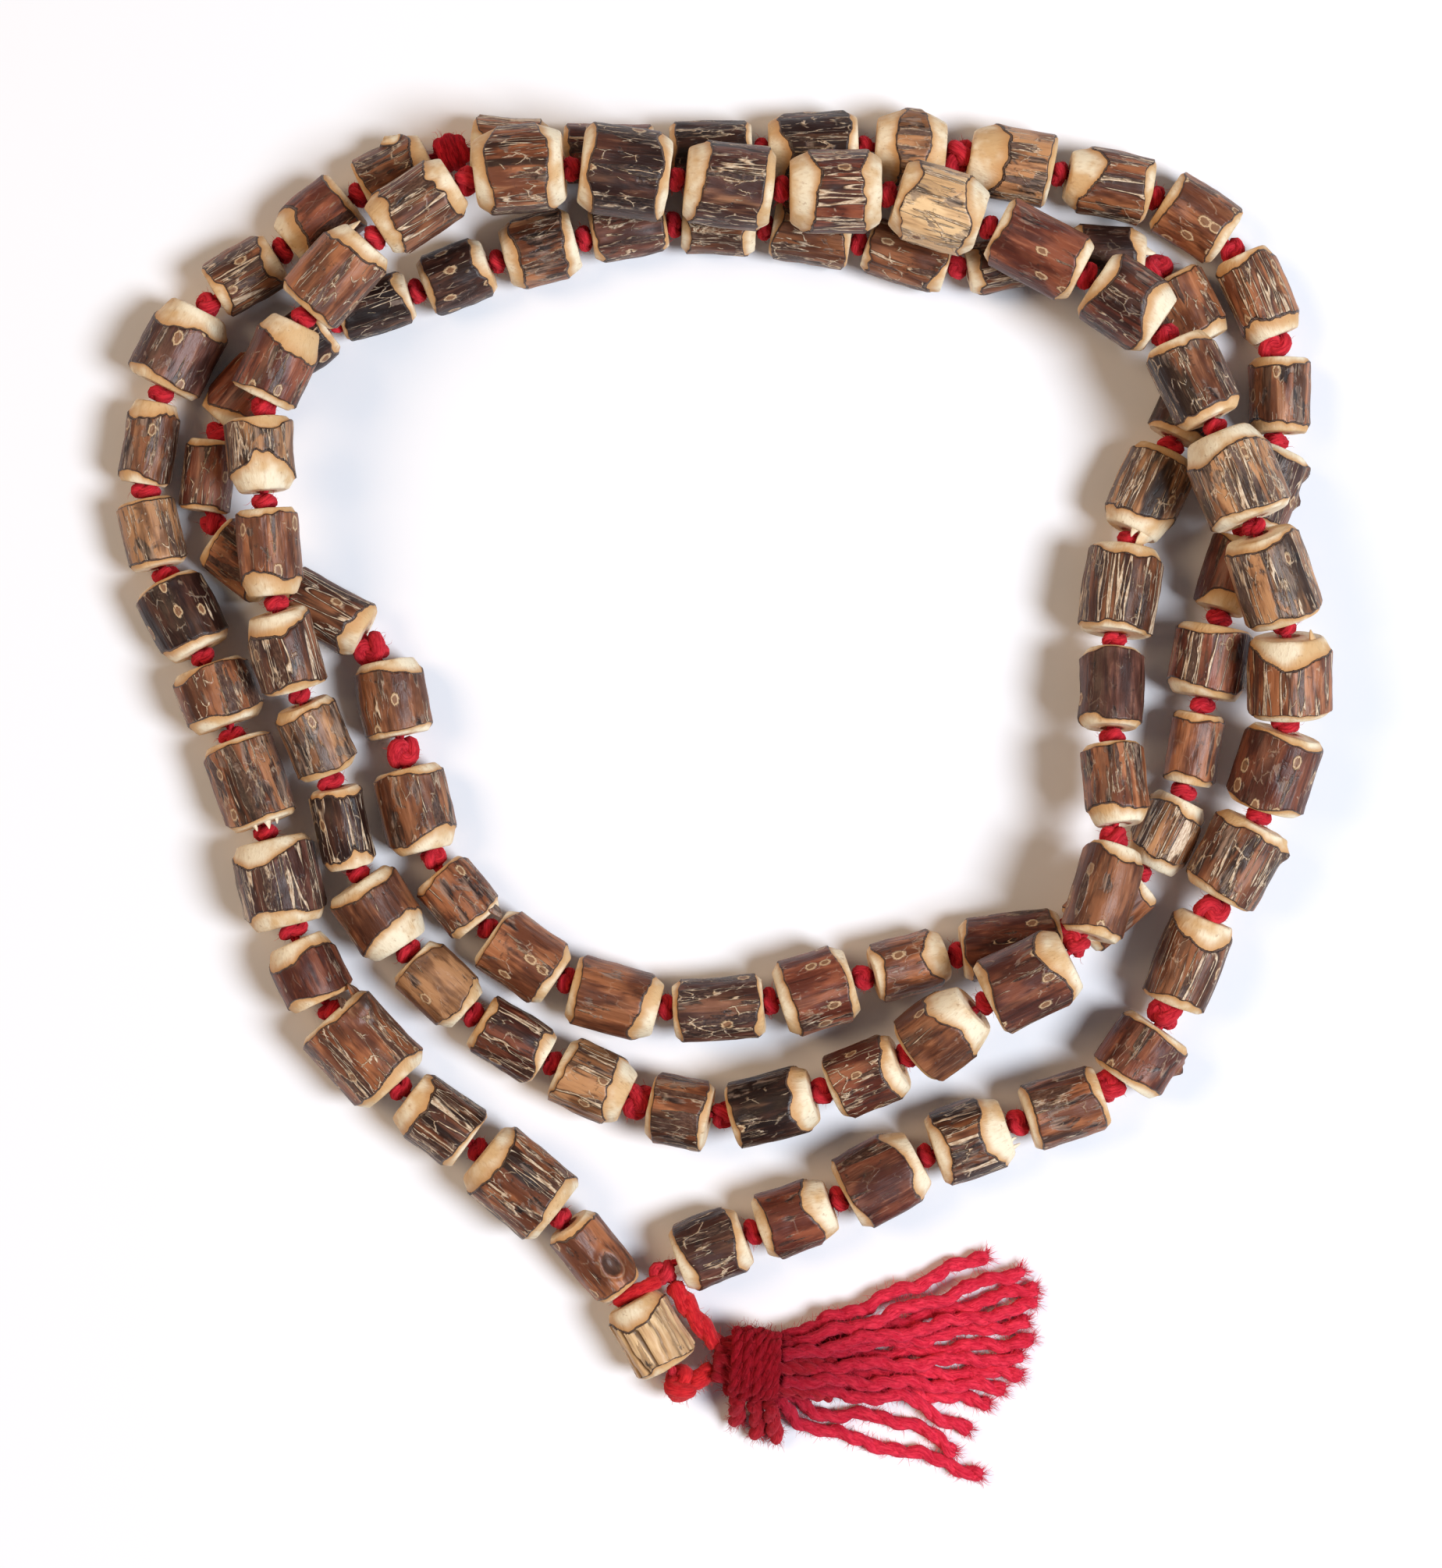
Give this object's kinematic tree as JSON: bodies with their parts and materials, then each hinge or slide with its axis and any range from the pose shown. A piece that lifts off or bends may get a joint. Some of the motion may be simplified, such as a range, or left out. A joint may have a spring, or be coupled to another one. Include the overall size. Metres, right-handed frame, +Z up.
{
  "type": "mala prayer beads",
  "caption": "Long string of whittled twig beads with the bark on, knotted between on red yarn, closed by a guru bead and a yarn tassel, lying folded.",
  "frame": {"origin": "under the middle of the box of the beads, on the surface they lie on", "axes": "+Z up from the surface, +X to the right along the long front stretches, towards the tassel's loose ends, +Y from the guru bead towards the pile at the far side"},
  "size_m": [0.1537, 0.1749, 0.0203],
  "materials": {
    "bark": "rough ridged bark over bare whittled ends",
    "pale_bark": "pale fissured bark",
    "yarn": "soft twisted wool yarn",
    "yarn_dark": "tight wound wool yarn"
  },
  "bodies": {
    "string": {"lower_outer_beads": "bark", "lower_inner_beads": "bark", "upper_layer_beads": "bark", "stringing_thread": "yarn", "spacer_knots": "yarn", "doubled_knots": "yarn", "join_knot": "yarn", "guru_thread": "yarn", "shoulder_knot": "yarn", "foot_knot": "yarn", "shoulder_yarn": "yarn", "side_yarn": "yarn", "neck_yarn": "yarn"},
    "bead_01": {"bead_01": "bark"},
    "bead_02": {"bead_02": "bark"},
    "bead_03": {"bead_03": "bark"},
    "bead_04": {"bead_04": "bark"},
    "bead_05": {"bead_05": "bark"},
    "bead_06": {"bead_06": "bark"},
    "bead_07": {"bead_07": "bark"},
    "bead_08": {"bead_08": "bark"},
    "bead_09": {"bead_09": "bark"},
    "bead_10": {"bead_10": "bark"},
    "bead_11": {"bead_11": "bark"},
    "bead_33": {"bead_33": "bark"},
    "bead_34": {"bead_34": "bark"},
    "bead_35": {"bead_35": "bark"},
    "bead_36": {"bead_36": "bark"},
    "bead_37": {"bead_37": "bark"},
    "bead_38": {"bead_38": "bark"},
    "bead_39": {"bead_39": "bark"},
    "bead_40": {"bead_40": "bark"},
    "bead_57": {"bead_57": "bark"},
    "bead_58": {"bead_58": "bark"},
    "bead_59": {"bead_59": "bark"},
    "bead_60": {"bead_60": "bark"},
    "bead_64": {"bead_64": "bark"},
    "bead_65": {"bead_65": "bark"},
    "bead_66": {"bead_66": "bark"},
    "bead_67": {"bead_67": "bark"},
    "bead_68": {"bead_68": "bark"},
    "bead_69": {"bead_69": "bark"},
    "bead_70": {"bead_70": "bark"},
    "bead_71": {"bead_71": "bark"},
    "bead_72": {"bead_72": "bark"},
    "bead_90": {"bead_90": "bark"},
    "bead_91": {"bead_91": "bark"},
    "bead_92": {"bead_92": "bark"},
    "bead_93": {"bead_93": "bark"},
    "bead_94": {"bead_94": "bark"},
    "bead_95": {"bead_95": "bark"},
    "bead_96": {"bead_96": "bark"},
    "bead_97": {"bead_97": "bark"},
    "bead_98": {"bead_98": "bark"},
    "guru_bead": {"guru_bead": "pale_bark"},
    "tassel": {"tassel_core": "yarn", "tassel_binding": "yarn_dark", "tassel_strands": "yarn", "binding_tails": "yarn_dark"}
  },
  "joints": [
    {"name": "bead_01_turn", "type": "hinge", "parent": "string", "child": "bead_01", "pos_m": [-0.01605, -0.06505, 0.00475], "axis": [-0.6205, 0.7756, 0.1163], "continuous": true},
    {"name": "bead_02_turn", "type": "hinge", "parent": "string", "child": "bead_02", "pos_m": [-0.02555, -0.05555, 0.0055], "axis": [-0.774, 0.6332, 0], "continuous": true},
    {"name": "bead_03_turn", "type": "hinge", "parent": "string", "child": "bead_03", "pos_m": [-0.0358, -0.04755, 0.0055], "axis": [-0.8051, 0.5932, 0], "continuous": true},
    {"name": "bead_04_turn", "type": "hinge", "parent": "string", "child": "bead_04", "pos_m": [-0.0453, -0.0388, 0.0055], "axis": [-0.6709, 0.7415, 0], "continuous": true},
    {"name": "bead_05_turn", "type": "hinge", "parent": "string", "child": "bead_05", "pos_m": [-0.0523, -0.0288, 0.0055], "axis": [-0.4281, 0.9037, 0], "continuous": true},
    {"name": "bead_06_turn", "type": "hinge", "parent": "string", "child": "bead_06", "pos_m": [-0.05605, -0.01755, 0.0055], "axis": [-0.2249, 0.9744, 0], "continuous": true},
    {"name": "bead_07_turn", "type": "hinge", "parent": "string", "child": "bead_07", "pos_m": [-0.0598, -0.0048, 0.00525], "axis": [-0.3385, 0.9402, -0.0376], "continuous": true},
    {"name": "bead_08_turn", "type": "hinge", "parent": "string", "child": "bead_08", "pos_m": [-0.0638, 0.0062, 0.005], "axis": [-0.3457, 0.9383, 0], "continuous": true},
    {"name": "bead_09_turn", "type": "hinge", "parent": "string", "child": "bead_09", "pos_m": [-0.0683, 0.0162, 0.00475], "axis": [-0.4636, 0.885, -0.0421], "continuous": true},
    {"name": "bead_10_turn", "type": "hinge", "parent": "string", "child": "bead_10", "pos_m": [-0.0723, 0.0267, 0.0045], "axis": [-0.2316, 0.9728, 0], "continuous": true},
    {"name": "bead_11_turn", "type": "hinge", "parent": "string", "child": "bead_11", "pos_m": [-0.07255, 0.0382, 0.00475], "axis": [0.1579, 0.9867, 0.0395], "continuous": true},
    {"name": "bead_33_turn", "type": "hinge", "parent": "string", "child": "bead_33", "pos_m": [0.0237, -0.02805, 0.0045], "axis": [-0.9642, -0.2515, 0.0838], "continuous": true},
    {"name": "bead_34_turn", "type": "hinge", "parent": "string", "child": "bead_34", "pos_m": [0.0122, -0.0313, 0.005], "axis": [-0.9567, -0.2912, 0], "continuous": true},
    {"name": "bead_35_turn", "type": "hinge", "parent": "string", "child": "bead_35", "pos_m": [-0.0003, -0.03355, 0.00475], "axis": [-0.9966, -0.0738, -0.0369], "continuous": true},
    {"name": "bead_36_turn", "type": "hinge", "parent": "string", "child": "bead_36", "pos_m": [-0.01355, -0.0323, 0.0045], "axis": [-0.9656, 0.26, 0], "continuous": true},
    {"name": "bead_37_turn", "type": "hinge", "parent": "string", "child": "bead_37", "pos_m": [-0.02505, -0.02705, 0.0045], "axis": [-0.8192, 0.5735, 0], "continuous": true},
    {"name": "bead_38_turn", "type": "hinge", "parent": "string", "child": "bead_38", "pos_m": [-0.03355, -0.0193, 0.0045], "axis": [-0.6357, 0.7719, 0], "continuous": true},
    {"name": "bead_39_turn", "type": "hinge", "parent": "string", "child": "bead_39", "pos_m": [-0.0388, -0.00805, 0.0045], "axis": [-0.2425, 0.9701, 0], "continuous": true},
    {"name": "bead_40_turn", "type": "hinge", "parent": "string", "child": "bead_40", "pos_m": [-0.0418, 0.00595, 0.0045], "axis": [-0.1758, 0.9844, 0], "continuous": true},
    {"name": "bead_57_turn", "type": "hinge", "parent": "string", "child": "bead_57", "pos_m": [0.0542, 0.03195, 0.005], "axis": [-0.4155, -0.9065, 0.0755], "continuous": true},
    {"name": "bead_58_turn", "type": "hinge", "parent": "string", "child": "bead_58", "pos_m": [0.05045, 0.01945, 0.00625], "axis": [-0.1511, -0.982, 0.1133], "continuous": true},
    {"name": "bead_59_turn", "type": "hinge", "parent": "string", "child": "bead_59", "pos_m": [0.0492, 0.00695, 0.008], "axis": [-0.0411, -0.9856, 0.1643], "continuous": true},
    {"name": "bead_60_turn", "type": "hinge", "parent": "string", "child": "bead_60", "pos_m": [0.04945, -0.0053, 0.01], "axis": [0.0788, -0.9844, 0.1575], "continuous": true},
    {"name": "bead_64_turn", "type": "hinge", "parent": "string", "child": "bead_64", "pos_m": [0.0182, -0.0418, 0.0085], "axis": [-0.9054, -0.388, -0.1725], "continuous": true},
    {"name": "bead_65_turn", "type": "hinge", "parent": "string", "child": "bead_65", "pos_m": [0.00645, -0.0458, 0.00675], "axis": [-0.9597, -0.2584, -0.1107], "continuous": true},
    {"name": "bead_66_turn", "type": "hinge", "parent": "string", "child": "bead_66", "pos_m": [-0.0053, -0.04655, 0.0055], "axis": [-0.9781, 0.1863, -0.0931], "continuous": true},
    {"name": "bead_67_turn", "type": "hinge", "parent": "string", "child": "bead_67", "pos_m": [-0.01605, -0.04305, 0.00475], "axis": [-0.9096, 0.4134, -0.0413], "continuous": true},
    {"name": "bead_68_turn", "type": "hinge", "parent": "string", "child": "bead_68", "pos_m": [-0.02655, -0.03755, 0.00475], "axis": [-0.8567, 0.514, 0.0428], "continuous": true},
    {"name": "bead_69_turn", "type": "hinge", "parent": "string", "child": "bead_69", "pos_m": [-0.0358, -0.03055, 0.00525], "axis": [-0.7275, 0.6847, 0.0428], "continuous": true},
    {"name": "bead_70_turn", "type": "hinge", "parent": "string", "child": "bead_70", "pos_m": [-0.0433, -0.02155, 0.006], "axis": [-0.5431, 0.8355, 0.0836], "continuous": true},
    {"name": "bead_71_turn", "type": "hinge", "parent": "string", "child": "bead_71", "pos_m": [-0.0478, -0.01055, 0.00725], "axis": [-0.2024, 0.9717, 0.1215], "continuous": true},
    {"name": "bead_72_turn", "type": "hinge", "parent": "string", "child": "bead_72", "pos_m": [-0.05105, 0.0007, 0.009], "axis": [-0.3505, 0.92, 0.1752], "continuous": true},
    {"name": "bead_90_turn", "type": "hinge", "parent": "string", "child": "bead_90", "pos_m": [0.0697, -0.0033, 0.009], "axis": [-0.2872, -0.9437, -0.1641], "continuous": true},
    {"name": "bead_91_turn", "type": "hinge", "parent": "string", "child": "bead_91", "pos_m": [0.06495, -0.0148, 0.00725], "axis": [-0.4595, -0.8807, -0.1149], "continuous": true},
    {"name": "bead_92_turn", "type": "hinge", "parent": "string", "child": "bead_92", "pos_m": [0.0592, -0.02755, 0.006], "axis": [-0.3648, -0.9287, -0.0663], "continuous": true},
    {"name": "bead_93_turn", "type": "hinge", "parent": "string", "child": "bead_93", "pos_m": [0.0532, -0.0393, 0.00525], "axis": [-0.5642, -0.8245, -0.0434], "continuous": true},
    {"name": "bead_94_turn", "type": "hinge", "parent": "string", "child": "bead_94", "pos_m": [0.0437, -0.04605, 0.005], "axis": [-0.9524, -0.3048, 0], "continuous": true},
    {"name": "bead_95_turn", "type": "hinge", "parent": "string", "child": "bead_95", "pos_m": [0.0317, -0.05005, 0.005], "axis": [-0.9445, -0.3285, 0], "continuous": true},
    {"name": "bead_96_turn", "type": "hinge", "parent": "string", "child": "bead_96", "pos_m": [0.02045, -0.05505, 0.005], "axis": [-0.8779, -0.4789, 0], "continuous": true},
    {"name": "bead_97_turn", "type": "hinge", "parent": "string", "child": "bead_97", "pos_m": [0.00945, -0.06005, 0.00475], "axis": [-0.9389, -0.3414, -0.0427], "continuous": true},
    {"name": "bead_98_turn", "type": "hinge", "parent": "string", "child": "bead_98", "pos_m": [-0.0013, -0.06405, 0.0045], "axis": [-0.9345, -0.356, 0], "continuous": true},
    {"name": "guru_bead_turn", "type": "hinge", "parent": "string", "child": "guru_bead", "pos_m": [-0.00905, -0.0748, 0.0045], "axis": [0.507, -0.8619, 0], "continuous": true},
    {"name": "tassel_swing", "type": "hinge", "parent": "string", "child": "tassel", "pos_m": [0.00135, -0.07845, 0.0045], "axis": [0, 0, 1], "range_deg": [-30, 8]}
  ]
}
